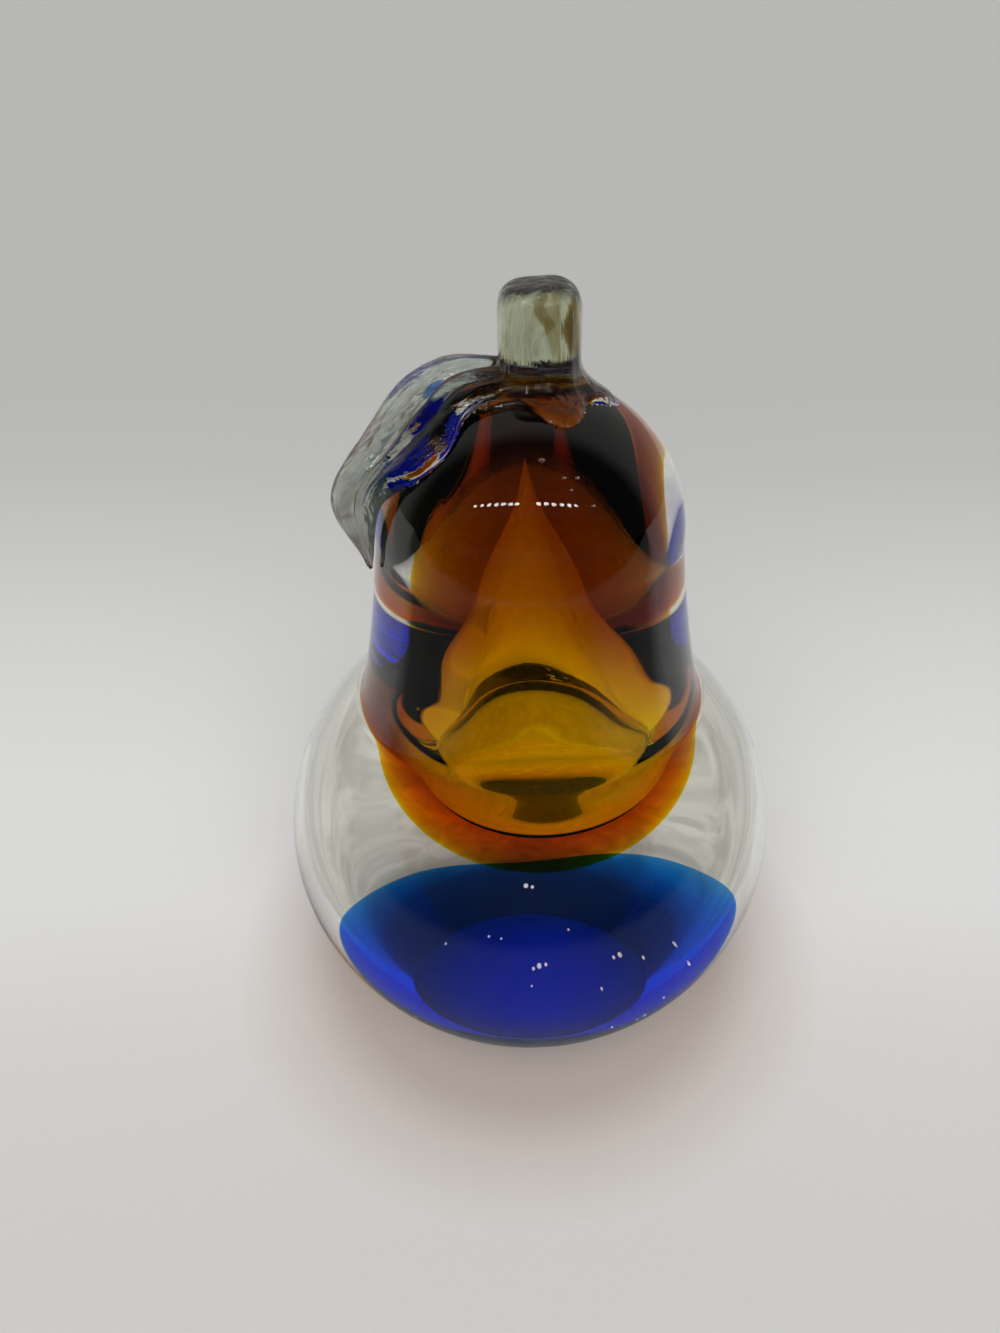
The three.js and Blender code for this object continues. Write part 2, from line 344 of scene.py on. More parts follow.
class Shader(Nodes):
    """A material's nodes."""

    def __init__(self, name):
        self.material = bpy.data.materials.new(name)
        self.material.use_nodes = True
        self.material.node_tree.nodes.clear()
        super().__init__(self.material.node_tree, "Object")
        self.output = self.node("OutputMaterial")

    def surface(self, shader):
        self.tree.links.new(shader, self.output.inputs["Surface"])
        return self

    def glass(self, ior, colour, roughness, bump=None, clear=1.0):
        """The surface: glass of this index, with colour and roughness plain or from nodes."""
        node = self.node("BsdfPrincipled", IOR=ior, Roughness=roughness, Base_Color=colour)
        node.inputs["Transmission Weight"].default_value = clear
        if bump is not None:
            height, depth = bump
            bent = self.node("Bump", Height=height, Distance=depth, Strength=1.0)
            self.tree.links.new(bent.outputs[0], node.inputs["Normal"])
        return self.surface(node.outputs[0])

    def filled(self, colour, density):
        node = self.node("VolumeAbsorption", Color=(*colour, 1), Density=density)
        self.tree.links.new(node.outputs[0], self.output.inputs["Volume"])
        return self


def clear_glass():
    s = Shader("clear_glass")
    ripple = s.noise(s.place, 45, 1.0)
    smear = s.between(s.noise(s.place, 60, 4), (0.4, 0.0), (0.9, 0.006))
    tint = s.between(s.noise(s.place, 18), (0.3, (0.95, 0.955, 0.935)), (0.7, (0.92, 0.93, 0.90)))
    return s.glass(GLASS_IOR, tint, smear, (ripple, 0.00002)).material


def ground_glass():
    """Painted light and shade: nearly white in front of the middle, where light comes in, and
    darker towards the edge, most at the back, where the amber core shades the face.
    """
    painted_light_centre, painted_shade_reach = (0.002, -0.006, 0), 0.028
    s = Shader("ground_glass")
    grain = s.noise(s.place, 900, 4)
    haze = s.between(s.noise(s.place, 120, 3), (0.3, 0.55), (0.7, 0.75))
    # painted shade: the face darkens away from a painted lit spot in front of the middle
    spread = s.share(s.distance(painted_light_centre), 0, painted_shade_reach)
    tint = s.between(spread, (0.3, 0.97), (0.6, 0.8), (1.0, 0.12))
    return s.glass(GLASS_IOR, tint, haze, (grain, 0.00003), clear=0.05).material


def tinted_gather(name, colour, density, deep, pale, clear=1.0):
    """Glass that takes on the colour as light goes through it, with drawn-out tints on its wall."""
    s = Shader(name)
    drawn = s.noise(s.stretched((1, 1, 0.12)), 70, 4, 0.6)
    tint = s.between(drawn, (0.3, deep), (0.7, pale))
    return s.glass(1.0, tint, 0.0, clear=clear).filled(colour, density).material


def air_wall():
    s = Shader("air_wall")
    drawn = s.noise(s.stretched((1, 1, 0.05)), 260, 3)
    tint = s.between(drawn, (0.3, FAINT), (0.7, WHITE))
    return s.glass(GLASS_IOR, tint, 0.0, (drawn, 0.00004)).material


def white_stone():
    s = Shader("white_stone")
    grit = s.noise(s.place, 3000, 3)
    tint = s.between(grit, (0.3, (0.80, 0.80, 0.78)), (0.7, (0.96, 0.96, 0.95)))
    haze = s.between(grit, (0.3, 0.5), (0.7, 0.8))
    return s.glass(GLASS_IOR, tint, haze, (grit, 0.0001), clear=0.0).material


def fused_seam():
    s = Shader("fused_seam")
    tint = s.between(s.noise(s.place, 90), (0.3, FAINT), (0.7, WHITE))
    return s.glass(1.0, tint, 0.0).material


def stem_glass():
    s = Shader("stem_glass")
    streaks = s.noise(s.stretched((1, 1, 0.25), (0, 8, 0)), 330, 4, 1.2)
    tint = s.between(
        streaks,
        (0.32, (0.50, 0.41, 0.31)),
        (0.46, (0.86, 0.86, 0.78)),
        (0.58, (0.97, 0.99, 0.94)),
        (0.72, (0.62, 0.55, 0.44)),
    )
    smear = s.between(s.noise(s.place, 150, 4), (0.4, 0.03), (0.8, 0.12))
    return s.glass(GLASS_IOR, tint, smear, (streaks, 0.0005)).material


def leaf_glass():
    """Smoky, and darker towards the tip."""
    dark_z, pale_z = 0.102, 0.126
    s = Shader("leaf_glass")
    streaks = s.noise(s.stretched((0.4, 1, 0.4), (0, 0, 12)), 300, 4, 1.0)
    tint = s.between(
        streaks,
        (0.32, (0.55, 0.47, 0.42)),
        (0.45, (0.88, 0.89, 0.88)),
        (0.58, (0.98, 1.0, 0.99)),
        (0.72, (0.68, 0.63, 0.58)),
    )
    fall = s.share(s.axis("Z"), dark_z, pale_z)
    tint = s.tinted(tint, s.between(fall, (0.2, 0.42), (1.0, 1.0)))
    smear = s.between(s.noise(s.place, 140, 4), (0.4, 0.03), (0.8, 0.12))
    return s.glass(GLASS_IOR, tint, smear, (streaks, 0.0005)).material


WHITE = (1.0, 1.0, 1.0)
FAINT = (0.97, 0.96, 0.94)
AMBER_WALL = ((0.98, 0.86, 0.3), (1.0, 0.9, 0.4))
BLUE_WALL = ((0.10, 0.44, 0.95), (0.16, 0.56, 1.0))

CLEAR = clear_glass()
GROUND = ground_glass()
AIR = air_wall()
STONE = white_stone()
FUSED = fused_seam()
AMBER = tinted_gather("amber_glass", (0.960, 0.92, 0.0), 1700, *AMBER_WALL)
GOLD = tinted_gather("amber_glass_low", (0.990, 0.937, 0.0), 1700, *AMBER_WALL)
BLUE = tinted_gather("blue_glass", (0.03, 0.76, 0.991), 620, *BLUE_WALL, clear=0.97)
SMOKE = tinted_gather("smoke_tint", (0.72, 0.755, 0.70), 230, (0.95, 0.94, 0.92), WHITE)
SLATE = tinted_gather("slate_tint", (0.64, 0.68, 0.67), 480, (0.95, 0.95, 0.96), WHITE)
NAVY = tinted_gather("navy_streak", (0.10, 0.40, 0.93), 1200, (0.93, 0.95, 1.0), WHITE)
BROWN = tinted_gather("brown_streak", (0.62, 0.50, 0.22), 900, (0.9, 0.86, 0.8), WHITE)
STEM = stem_glass()
LEAF = leaf_glass()


# Clear casing, with the ground face that it stands on

def body_profile():
    start = -math.degrees(math.asin(BULB_CENTRE_Z / BULB_HALF_HEIGHT))
    bulb = ellipse_arc(BULB_RADIUS, BULB_HALF_HEIGHT, BULB_CENTRE_Z, start, BULB_TOP_ANGLE, 110)
    crown = ellipse_arc(NECK_RADIUS, CROWN_HEIGHT, NECK_TOP_Z, 0, 90, 70)
    leave = bulb[-1] - bulb[-2]
    bend = bulb[-1] + NECK_BEND * leave / np.linalg.norm(leave)
    neck = bezier(bulb[-1], bend, crown[0] - (0, NECK_BEND), crown[0], 50)
    outline = np.vstack([bulb, neck[1:], crown[1:]])
    outline[0] = (BASE_RADIUS, 0)
    outline[-1] = (0, BODY_TOP_Z)
    by_edge = outline[0] + EDGE_BAND * (outline[1] - outline[0])
    return np.insert(outline, 1, by_edge, 0)


def hand_made(rings):
    """Lets each ring run a little out of round, as blown and tooled glass does."""
    made = []
    for ring in rings:
        angle = np.arctan2(ring[:, 1], ring[:, 0])
        radius = np.hypot(ring[:, 0], ring[:, 1])
        z = ring[:, 2]
        fade = np.clip(radius / BASE_RADIUS, 0, 1)
        for lobes, depth, start, rise in SKIN_LOBES:
            radius = radius + depth * (np.sin(lobes * angle + start + z / rise) - 1) * fade
        made.append(np.stack([radius * np.cos(angle), radius * np.sin(angle), z], 1))
    return made


BODY = body_profile()
base_rings = rings_of([(0, 0), (BASE_RADIUS / 2, 0)], BODY_SIDES)
casing = skin(
    "casing_skin",
    base_rings + hand_made(rings_of(BODY, BODY_SIDES)),
    CLEAR,
    FUSED,
    GROUND,
)
for face in casing.data.polygons:
    if face.center.z < 1e-6:
        face.material_index = 2
        face.use_smooth = False
add(casing, "clear_glass", "clear_casing")


# Blue base, just inside the skin

def blue_rings():
    """Up the skin to a rim, higher on the right and lower at the back, then over the dome."""
    angle = round_angles(CORE_SIDES)
    side = BODY[BODY[:, 1] < BULB_CENTRE_Z]
    dip = BLUE_BACK_DIP * np.maximum(0, np.sin(angle)) ** BLUE_DIP_SHARPNESS
    rim_z = BLUE_RIM_Z + BLUE_LEAN * np.cos(angle) - dip
    bottom_z = 2 * SEAM
    rings = [np.array([[0, 0, bottom_z]])]

    def ring(radius, z):
        rings.append(np.stack([radius * np.cos(angle), radius * np.sin(angle), z], 1))

    def inside_skin(z):
        return np.interp(z, side[:, 1], side[:, 0]) - BLUE_INSET

    for share in np.linspace(0, 1, 24):
        z = bottom_z + (rim_z - bottom_z) * share
        ring(inside_skin(z), z)
    rim = inside_skin(rim_z)
    for share in np.cos(np.linspace(0, np.pi / 2, 50))[1:-1]:
        ring(rim * share, rim_z + (BLUE_THICKNESS - rim_z) * (1 - share**BLUE_FLATNESS))
    return [*rings, np.array([[0, 0, BLUE_THICKNESS]])]


add(skin("blue_gather", blue_rings(), BLUE), "blue_glass", "blue_base")


# Amber core and seal round the bubble

def bubble_profile():
    """The bubble's underside, from the axis out, and its flank, from there up to the tip."""
    depth = BUBBLE_RADIUS_Z - BUBBLE_BOTTOM_Z
    angle = np.linspace(np.pi / 2, 0, 60)
    power = 2 / BUBBLE_SQUARENESS
    radius = BUBBLE_RADIUS * np.cos(angle) ** power
    under = np.stack([radius, BUBBLE_RADIUS_Z - depth * np.sin(angle) ** power], 1)
    flank = through([(BUBBLE_RADIUS, BUBBLE_RADIUS_Z), *BUBBLE_FLANK, (0, BUBBLE_TIP_Z)], 14)
    under[0, 0] = 0
    flank[-1, 0] = 0
    return under, flank


def core_profile():
    bowl = ellipse_arc(CORE_RADIUS, CORE_RADIUS_Z - CORE_BOTTOM_Z, CORE_RADIUS_Z, -90, 0, 70)
    taper = (CORE_NECK_RADIUS - CORE_CROWN_RADIUS) / (NECK_TOP_Z - CORE_NECK_Z)
    bend_z = (CORE_SHOULDER_Z + CORE_NECK_Z) / 2
    bend = (CORE_NECK_RADIUS + taper * (CORE_NECK_Z - bend_z), bend_z)
    neck, crown = (CORE_NECK_RADIUS, CORE_NECK_Z), (CORE_CROWN_RADIUS, NECK_TOP_Z)
    shoulder = bezier(bowl[-1], (CORE_RADIUS, CORE_SHOULDER_Z), bend, neck, 40)
    top = (CORE_TOP_RADIUS, BODY_TOP_Z - CORE_COVER)
    bowl[0, 0] = 0
    return np.vstack(
        [
            bowl,
            shoulder[1:],
            np.linspace(neck, crown, 12)[1:],
            np.linspace(crown, top, 16)[1:],
            [(0, top[1])],
        ]
    )


def in_bubble_place(rings):
    lean = math.radians(BUBBLE_LEAN)
    turned = []
    for ring in rings:
        x, z = ring[:, 0], ring[:, 2] - BUBBLE_RADIUS_Z
        placed = ring.copy()
        placed[:, 0] = x * math.cos(lean) - z * math.sin(lean) + BUBBLE_OFFSET
        placed[:, 2] = x * math.sin(lean) + z * math.cos(lean) + BUBBLE_RADIUS_Z
        turned.append(placed)
    return turned


def in_core_place(rings):
    return [ring + (CORE_OFFSET, 0, 0) for ring in rings]


under, flank = bubble_profile()
wall_under = beside(under, SEAM)
wall_flank = beside(flank, SEAM)
wall_under[0, 0] = 0
wall_flank[-1, 0] = 0
core = core_profile()
core_above = core[core[:, 1] > BUBBLE_RADIUS_Z]
core_below = core[core[:, 1] < BUBBLE_RADIUS_Z - SEAM]
amber_core = skin(
    "amber_gather",
    in_bubble_place(rings_of(wall_flank[::-1], CORE_SIDES))
    + in_core_place(rings_of(core_above, CORE_SIDES)),
    AMBER,
)
amber_seal = skin(
    "amber_gather_low",
    in_core_place(rings_of(core_below, CORE_SIDES))
    + in_bubble_place(rings_of(wall_under[::-1] - (0, SEAM), CORE_SIDES)),
    GOLD,
)
add(amber_core, "amber_glass", "amber_core")
add(amber_seal, "amber_glass", "amber_seal")

# The bubble's wall faces in, so that light bends as it leaves the glass there.
bubble = np.vstack([under, flank[1:]])[::-1]
add(skin("bubble", in_bubble_place(rings_of(bubble, CORE_SIDES)), AIR), "clear_glass")


# Seed bubbles high in the neck and white grains over the blue: (radius, x, y, z)
SEEDS = [
    (0.45, 1.6, -11.2, 119.7),
    (0.32, 4.6, -11.9, 117.3),
    (0.32, 6.4, -11.5, 117.1),
    (0.22, 5.6, -12.9, 116.0),
    (0.28, 8.6, -13.4, 113.9),
]
GRAINS = [
    (0.29, -0.5, 15.7, 9.2),
    (0.21, 0.3, 15.5, 9.2),
    (0.28, 1.1, 3.7, 9.2),
    (0.18, 0.4, 3.3, 9.2),
    (0.18, 1.9, 3.9, 9.2),
    (0.24, 10.5, 6.3, 9.2),
    (0.17, 9.8, 5.8, 9.2),
    (0.14, 12.9, 6.7, 9.2),
    (0.14, 15.8, 10.2, 8.9),
    (0.17, 18.7, 12.8, 8.9),
    (0.13, 20.0, 14.0, 8.8),
    (0.15, -5.0, 8.0, 9.2),
    (0.13, -3.5, 7.6, 9.2),
    (0.15, 4.7, 9.0, 9.2),
    (0.13, -10.0, 7.6, 9.2),
    (0.11, 0.2, 1.1, 9.2),
    (0.13, 8.2, 1.8, 9.2),
]


def droplet(name, radius, x, y, z, material, start):
    """A slightly flattened drop; from its top, at 90 degrees, it faces in, from its foot out."""
    outline = ellipse_arc(radius, DROP_FLATNESS * radius, 0, start, -start, 12)
    outline[[0, -1], 0] = 0
    rings = [ring + (x, y, z) for ring in rings_of(outline, DROP_SIDES)]
    add(skin(name, rings, material), "clear_glass")


for number, (radius, x, y, z) in enumerate(SEEDS, 1):
    droplet(f"seed_{number:02d}", radius, x, y, z, AIR, 90)
for number, (radius, x, y, z) in enumerate(GRAINS, 1):
    droplet(f"grain_{number:02d}", radius, x, y, z, STONE, -90)


# Stem and leaf, fused to the crown

def crown_z(x, y):
    return NECK_TOP_Z + CROWN_HEIGHT * np.sqrt(1 - (x * x + y * y) / NECK_RADIUS**2)


def stem_rings():
    """Out under the foot, in over its flare, up the stub and over the rounded top."""
    angle = round_angles(STEM_SIDES)
    corner = np.abs(np.cos(angle)) ** STEM_SQUARENESS + np.abs(np.sin(angle)) ** STEM_SQUARENESS
    stub = STEM_WIDTH / 2 / corner ** (1 / STEM_SQUARENESS)
    stub = stub * (1 + STEM_LOBE * np.sin(STEM_LOBES * angle + 0.6))
    foot = FOOT_RADIUS + FOOT_LOBE * np.cos(FOOT_LOBES * angle)
    rings = [np.array([[STEM_OFFSET, 0, BODY_TOP_Z - SUNK]])]

    def ring(radius, z_of):
        x, y = STEM_OFFSET + radius * np.cos(angle), radius * np.sin(angle)
        rings.append(np.stack([x, y, z_of(x, y)], 1))

    def lowered(x):
        left = STEM_OFFSET + STEM_TOP_FLAT - x
        return STEM_TOP_SLOPE * left * (left > 0)

    for share in np.linspace(0.1, 1, 12):
        ring(foot * share, lambda x, y: crown_z(x, y) - SUNK)
    for share in np.linspace(0, 1, 24):
        spread = (1 - share) ** 2
        edge = FOOT_EDGE * min(1, math.sqrt(share / FOOT_EDGE_ROUND)) + FOOT_HEIGHT * share**2
        ring(stub + (foot - stub) * spread, lambda x, y: crown_z(x, y) + edge)
    soft = STEM_TOP_SOFTNESS * STEM_TOP_ROUND
    flare_z = BODY_TOP_Z + FOOT_EDGE + FOOT_HEIGHT
    for share in np.linspace(0.08, 1, 16):
        z = flare_z + (STEM_TOP_Z - soft * (1 + STEM_TOP_UNEVEN) - flare_z) * share
        ring(stub, lambda x, y: np.full(STEM_SIDES, z))
    cut = soft * (1 + STEM_TOP_UNEVEN * np.maximum(0, np.cos(angle + 0.4)))
    power = 2 / STEM_SQUARENESS
    for turn in np.linspace(0, np.pi / 2, 20)[1:]:
        across, up = (max(0, part(turn)) ** power for part in (math.cos, math.sin))
        drop = cut * (1 - up)
        ring(stub - cut * (1 - across), lambda x, y: STEM_TOP_Z - drop - lowered(x) * up)
    for share in (0.66, 0.33):
        ring((stub - cut) * share, lambda x, y: STEM_TOP_Z - lowered(x))
    rings.append(np.array([[STEM_OFFSET, 0, STEM_TOP_Z - lowered(STEM_OFFSET)]]))
    return rings


def off_crown(azimuth, elevation, standoff):
    a, e = math.radians(azimuth), math.radians(elevation)
    d = np.array([math.cos(e) * math.cos(a), math.cos(e) * math.sin(a), math.sin(e)])
    size = np.array([NECK_RADIUS, NECK_RADIUS, CROWN_HEIGHT])
    normal = d / size
    return d * size + (0, 0, NECK_TOP_Z) + standoff * normal / np.linalg.norm(normal)


def onto_crown(points):
    """Moves what lies deep inside the body out to just under its skin."""
    moved = points.copy()
    radius = np.hypot(points[:, 0], points[:, 1])
    rise = points[:, 2] - NECK_TOP_Z
    size = np.sqrt((radius / (NECK_RADIUS - SUNK)) ** 2 + (rise / (CROWN_HEIGHT - SUNK)) ** 2)
    for i in np.flatnonzero((rise >= 0) & (size < 1)):
        moved[i] = (0, 0, NECK_TOP_Z) + (points[i] - (0, 0, NECK_TOP_Z)) / size[i]
    neck = BODY[BODY[:, 1] > BULB_CENTRE_Z]
    limit = np.interp(points[:, 2], neck[:, 1], neck[:, 0]) - SUNK
    for i in np.flatnonzero((rise < 0) & (radius < limit)):
        moved[i, :2] *= limit[i] / radius[i]
    return moved


def leaf_frame():
    """The leaf's two edges, the way up across it and its thickness, from root to tip."""
    back, front = (
        through([off_crown(*p) for p in edge], 28) for edge in (LEAF_BACK_EDGE, LEAF_FRONT_EDGE)
    )
    up = np.cross(back - front, np.gradient((back + front) / 2, axis=0))
    up /= np.linalg.norm(up, axis=1)[:, None]
    full = np.cos(np.pi / 2 * np.linspace(0, 1, len(back)) ** 2)
    return back, front, up, LEAF_TIP_THICKNESS + (LEAF_THICKNESS - LEAF_TIP_THICKNESS) * full


def leaf_rings():
    """Flat ovals across the leaf, creased and ribbed on top, waving from root to tip."""
    back, front, up, thickness = leaf_frame()
    angle = -round_angles(LEAF_SIDES)
    across = (1 - np.cos(angle)) / 2
    rings = []
    for i, share in enumerate(np.linspace(0, 1, len(back))):
        crease = sum(
            depth * np.exp(-(((across - place - drift * share) / width) ** 2))
            for depth, place, drift, width in LEAF_CREASES
        )
        height = thickness[i] / 2 * np.sin(angle) * (1 - crease * (np.sin(angle) > 0))
        turns = LEAF_RIBS * across + LEAF_RIB_SWAY * math.sin(5 * share)
        rib = LEAF_RIB * np.sin(2 * np.pi * turns)
        wave = LEAF_WAVE * math.sin(9 * share + 1)
        height += (rib * np.sin(angle) + wave) * (1 - share**4)
        line = back[i] + (front[i] - back[i]) * across[:, None]
        rings.append(onto_crown(line + height[:, None] * up[i]))
    start, end = rings[0].mean(0, keepdims=True), rings[-1].mean(0, keepdims=True)
    return [start, *rings, end]


def streak(name, centres, wide, high, material):
    """A drawn-out streak: an oval that follows the centres, fading to a point at both ends."""
    count = len(centres)
    angle = round_angles(STREAK_SIDES)
    rings = [centres[:1]]
    for i in range(1, count - 1):
        fade = math.sin(math.pi * i / (count - 1)) ** 0.5
        oval = np.cos(angle)[:, None] * wide[i] + np.sin(angle)[:, None] * high[i]
        rings.append(centres[i] + fade * oval)
    return skin(name, [*rings, centres[-1:]], material)


def leaf_streak(name, start, end, across, width, lift):
    """A blue streak along the leaf, from one share of its length to another."""
    back, front, up, thickness = leaf_frame()
    shares = np.linspace(start, end, 40)
    spots = np.round(shares * (len(back) - 1)).astype(int)
    over = (front - back)[spots]
    place = across + LEAF_STREAK_SWAY * np.sin(14 * shares)
    centres = back[spots] + over * place[:, None] + up[spots] * (lift * thickness[spots])[:, None]
    high = up[spots] * (LEAF_STREAK_THICKNESS * thickness[spots])[:, None]
    return add(streak(name, centres, over * width, high, NAVY), "leaf_glass")


def stem_streak(name, place, width, depth, swell, foot=0.5):
    """A brown streak inside the stem, right of its middle, from its foot up to near the top."""
    share = np.linspace(0, 1, 50)
    z = BODY_TOP_Z + foot + share * (STEM_HEIGHT - STEM_STREAK_COVER - foot)
    x = STEM_OFFSET + place + STEM_STREAK_SWAY * np.sin(7 * share) * width
    y = STEM_STREAK_Y + STEM_STREAK_SWING * np.sin(5 * share + 1)
    centres = np.stack([x, y, z], 1)
    size = width * (STEM_STREAK_FOOT + swell * share**3)
    wide = np.stack([size, 0 * size, 0 * size], 1)
    high = np.stack([0 * size, depth * size, 0 * size], 1)
    return add(streak(name, centres, wide, high, BROWN), "stem_glass")


def tint_body(name, piece, material, slot):
    """A body just inside the piece, to tint the light on its way through."""
    mesh = piece.data.copy()
    mesh.name = name
    mesh.materials.clear()
    for inner, outer in zip(mesh.vertices, piece.data.vertices):
        inner.co = outer.co - 2 * SEAM * MM * outer.normal
    return add(linked(name, mesh, material), slot)


stem = add(skin("stem_skin", stem_rings(), STEM, FUSED), "stem_glass", "stem")
leaf = add(skin("leaf_skin", leaf_rings(), LEAF, FUSED), "leaf_glass", "leaf")
tint_body("stem_tint", stem, SMOKE, "stem_glass")
tint_body("leaf_tint", leaf, SLATE, "leaf_glass")
stem_streak("stem_streak", place=2.0, width=1.0, depth=0.6, swell=1.0)
stem_streak("stem_streak_side", place=4.3, width=1.3, depth=2.4, swell=0.2)
stem_streak("stem_streak_top", place=0.6, width=1.2, depth=0.9, swell=0.3, foot=7.5)
leaf_streak("leaf_streak_long", start=0.16, end=0.72, across=0.74, width=0.11, lift=0.10)
leaf_streak("leaf_streak_short", start=0.2, end=0.36, across=0.42, width=0.07, lift=0.05)


def fuse(*pieces):
    """Clears the walls that lie inside another of the pieces: fused glass has no wall there."""
    trees = {}
    for piece in pieces:
        points = [v.co for v in piece.data.vertices]
        trees[piece.name] = BVHTree.FromPolygons(points, [p.vertices for p in piece.data.polygons])
    probe = Vector((0.31, -0.17, 0.93)).normalized()
    most_walls, step = 20, 1e-6

    def inside(tree, point):
        hits = 0
        spot = point
        while hits < most_walls:
            found = tree.ray_cast(spot, probe)[0]
            if found is None:
                break
            hits += 1
            spot = found + probe * step
        return hits % 2 == 1

    leaf_reach = 12
    low = (NECK_TOP_Z - leaf_reach) * MM
    for piece in pieces:
        others = [tree for name, tree in trees.items() if name != piece.name]
        for face in piece.data.polygons:
            if face.center.z > low and any(inside(tree, face.center) for tree in others):
                face.material_index = 1


fuse(casing, stem, leaf)


# Stage, light and camera

FLOOR_REACH = 60
FLOOR_LEVEL = -0.0002  # just under the pear
SHADE_REACH = 0.15
SHADE_CENTRE = (0, 0.003, 0)
BACKDROP = (0.57, 0.568, 0.56, 1)
ROOM_THROUGH_GLASS = (0.68, 0.68, 0.667, 1)
LIGHT_FROM = (0, -0.74, 0.67)
BEAD_LIGHTS_X = (-0.5, -0.42, -0.34, -0.27, -0.21, -0.15, -0.1, 0.06, 0.12, 0.18, 0.25, 0.32, 0.39)
BEAD_LIGHTS_Y = -0.45
BEAD_LIGHTS_Z = 0.565
BEAD_LIGHTS_BOW = 0.1  # rise towards both ends, times the square of x
BEAD_LIGHT_RADIUS = 0.02
BEAD_LIGHT_SIDES = 12
BEAD_LIGHT_STRENGTH = 18.0
FLAG_HALF_WIDTH = 0.2
FLAG_Y = -0.1
FLAG_LOW_Z = 0.13
FLAG_HIGH_Z = 0.176
CAMERA_PITCH = 35  # degrees down
CAMERA_DISTANCE = 0.1876
CAMERA_AIM_Z = 0.0749
SENSOR_HEIGHT = 36
IMAGE_HEIGHT = 1333  # in pixels, as are the next two
FOCAL_LENGTH = 1001
IMAGE_SHIFT = -30


def floor_tone(s, far):
    """Painted light and shade: palest round the pear, a little darker in front and greyer towards
    the back.
    """
    # painted light falloff along the floor; the faint noise after it is the floor's own uneven tone
    painted_light_tone = s.between(
        far,
        (0.06, (0.685, 0.672, 0.655)),
        (0.14, (0.72, 0.705, 0.69)),
        (0.22, (0.786, 0.783, 0.78)),
        (0.306, (0.778, 0.778, 0.77)),
        (0.456, (0.70, 0.70, 0.69)),
        (0.56, (0.635, 0.633, 0.625)),
        (0.72, (0.56, 0.557, 0.55)),
        (0.92, (0.533, 0.53, 0.522)),
    )
    return s.tinted(painted_light_tone, s.between(s.noise(s.place, 900, 2), (0.3, 0.985), (0.7, 1.0)))


def floor_itself(s, painted_light_tone):
    """The dull floor, with a painted warm contact shadow round the pear's foot."""
    painted_shadow_distance = s.share(s.distance((0, 0, 0)), 0, SHADE_REACH)
    # painted contact shadow: darker and warmer close round the pear's foot
    rim = s.between(painted_shadow_distance, (0.28, (0.68, 0.60, 0.56)), (0.35, (0.88, 0.83, 0.80)), (0.44, 1.0))
    body = s.node("BsdfPrincipled", Roughness=0.9, Base_Color=s.tinted(painted_light_tone, rim))
    body.inputs["Specular IOR Level"].default_value = 0
    return body.outputs[0]


def floor_mirrored(s):
    """The floor as the glass mirrors it, with painted shade in front."""
    ahead = s.share(s.axis("Y"), -0.3, 0.1)
    # painted shade: the floor seen in reflections is dark in front of the pear
    dim = s.between(ahead, (0.16, 0.015), (0.32, 0.2), (0.7, 0.22), (0.82, 0.7))
    return s.node("BsdfDiffuse", Color=dim).outputs[0]


def floor_through_glass(s, painted_light_tone, far):
    """The floor as the glass shows it, a glow in place of the lit floor: painted shade under the
    pear, a painted cast shadow behind it with painted light further back, and painted caustic light
    in clouds round it and in warm wisps.
    """
    under = s.share(s.distance(SHADE_CENTRE), 0, SHADE_REACH)
    # painted shade under and round the pear's foot
    shade = s.between(
        under,
        (0.155, 0.01),
        (0.18, 0.05),
        (0.213, 0.4),
        (0.247, 0.56),
        (0.287, 0.66),
        (0.4, 0.76),
        (0.6, 0.92),
    )
    # painted cast shadow behind the pear, and painted light further back
    painted_cast_shadow = s.between(far, (0.28, 1.0), (0.34, 0.6), (0.42, 0.85), (0.52, 1.0), (0.6, 1.5))
    # painted caustic light in clouds, close round the pear only
    painted_caustic_cloud = s.between(s.noise(s.place, 300, 2, 1.5), (0.36, 0.9), (0.64, 1.25))
    thinning = s.between(under, (0.3, 0.0), (0.38, 1.0))
    thin = s.node("Mix", Factor=thinning, A=painted_caustic_cloud, B=1.0).outputs[0]
    # painted caustic light in warm wisps
    painted_caustic_wisp = s.noise(s.place, 130, 3, 1.5)
    painted_caustic_warmth = s.between(painted_caustic_wisp, (0.35, (0.86, 0.84, 0.75)), (0.65, (1.08, 1.05, 0.96)))
    warm = s.tinted(painted_light_tone, painted_caustic_warmth)
    # the floor glows by this emission for rays through the glass, though it is no lamp
    return s.node("Emission", Color=warm, Strength=s.product(shade, painted_cast_shadow, thin)).outputs[0]


def floor_material():
    s = Shader("floor")
    far = s.share(s.axis("Y"), -0.1, 0.4)
    painted_light_tone = floor_tone(s, far)
    path = s.node("LightPath").outputs
    seen = s.instead(path["Is Glossy Ray"], floor_itself(s, painted_light_tone), floor_mirrored(s))
    seen = s.instead(path["Is Transmission Ray"], seen, floor_through_glass(s, painted_light_tone, far))
    return s.surface(seen).material


def staged(name, corners, faces, material, mirrored_only=False):
    """A piece of the stage, which may show in reflections only."""
    mesh = bpy.data.meshes.new(name)
    mesh.from_pydata(corners, [], faces)
    piece = linked(name, mesh, material)
    if mirrored_only:
        for ray in ("camera", "diffuse", "transmission", "shadow", "volume_scatter"):
            setattr(piece, "visible_" + ray, False)


def floor():
    ends = (-FLOOR_REACH, FLOOR_REACH)
    corners = [(ends[i], ends[j], FLOOR_LEVEL) for i, j in ((0, 0), (1, 0), (1, 1), (0, 1))]
    staged("floor", corners, [(0, 1, 2, 3)], floor_material())


